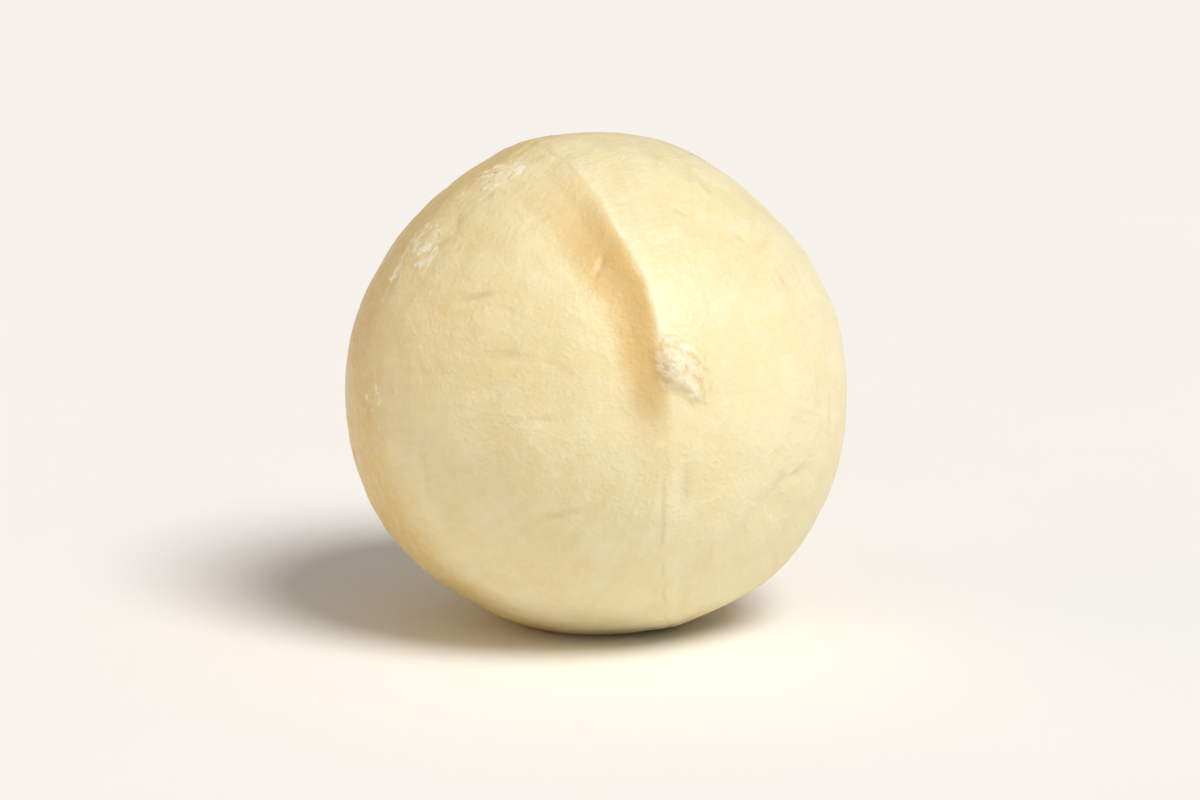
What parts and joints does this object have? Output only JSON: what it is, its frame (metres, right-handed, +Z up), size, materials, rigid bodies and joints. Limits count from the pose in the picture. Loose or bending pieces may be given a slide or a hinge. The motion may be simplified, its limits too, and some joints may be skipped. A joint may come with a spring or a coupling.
{
  "type": "shelled macadamia nut kernel",
  "caption": "Whole shelled macadamia nut, a round cream-coloured kernel with a fine seam and a tiny radicle tip, resting on a small flat spot.",
  "frame": {"origin": "on the resting surface, under the middle of the kernel's bounding box", "axes": "+Z up from the resting surface, -Y towards the radicle tip at the front, -X and +X towards the two seed halves"},
  "size_m": [0.019, 0.0202, 0.0187],
  "materials": {
    "kernel": "satin"
  },
  "bodies": {
    "root": {"macadamia_kernel": "kernel"}
  },
  "joints": []
}
